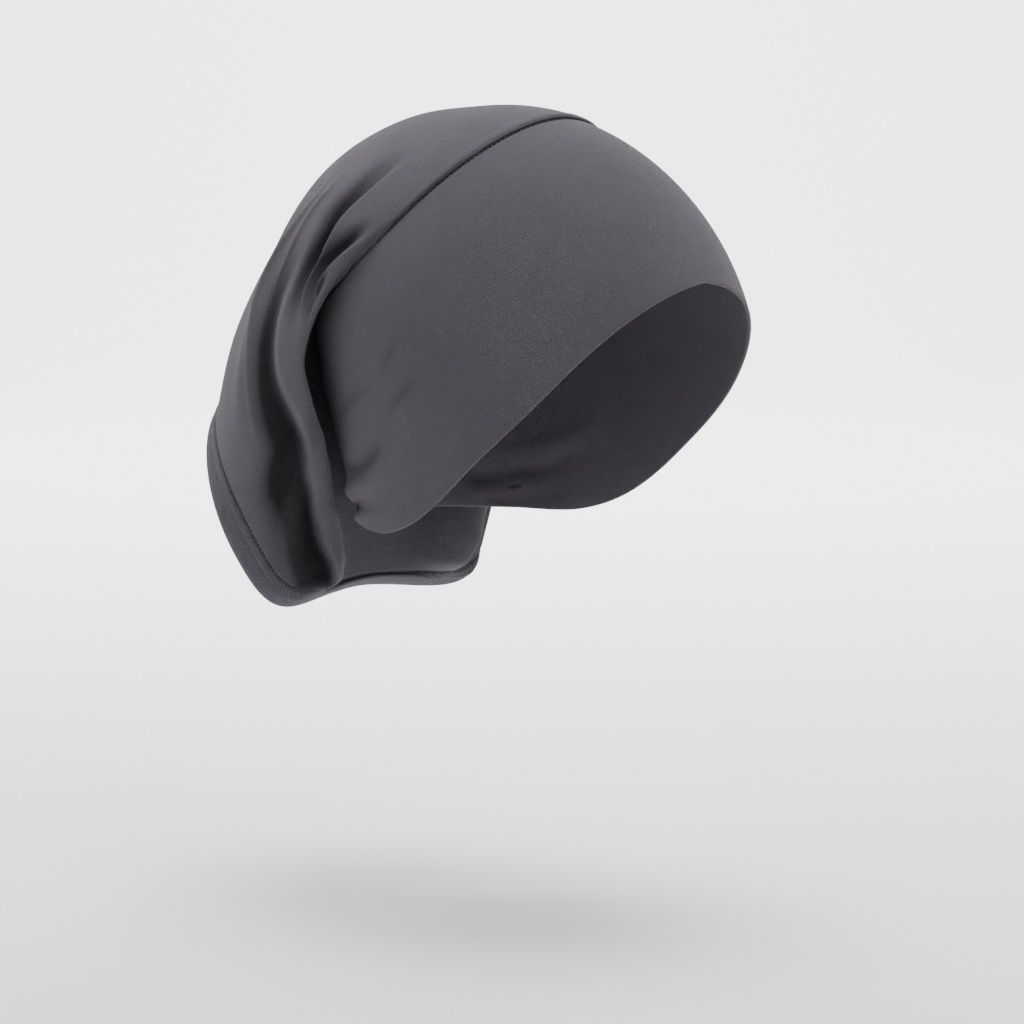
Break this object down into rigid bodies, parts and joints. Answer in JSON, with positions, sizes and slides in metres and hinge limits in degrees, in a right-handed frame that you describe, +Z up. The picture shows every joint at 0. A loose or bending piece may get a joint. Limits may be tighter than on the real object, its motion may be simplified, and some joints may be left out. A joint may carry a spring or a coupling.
{
  "type": "hijab underscarf cap",
  "caption": "Underscarf cap of stretch jersey in its worn form: a doubled band round the head, a slouching bag sewn to its upper edge, and an oval panel closing the bag's end.",
  "frame": {"origin": "the top of the wearer's head, where the cap's crown sits on it", "axes": "+Z up, the wearer faces -Y, +X is the wearer's left"},
  "size_m": [0.1593, 0.2555, 0.2144],
  "materials": {
    "band_jersey": "fine plain-knit stretch jersey, dark grey, matt with a soft sheen",
    "bag_jersey": "fine plain-knit stretch jersey, dark grey, matt with a soft sheen, folded",
    "panel_jersey": "fine plain-knit stretch jersey, dark grey, matt"
  },
  "bodies": {
    "root": {"front_band": "band_jersey", "crown_bag": "bag_jersey", "end_panel": "panel_jersey"}
  },
  "joints": []
}
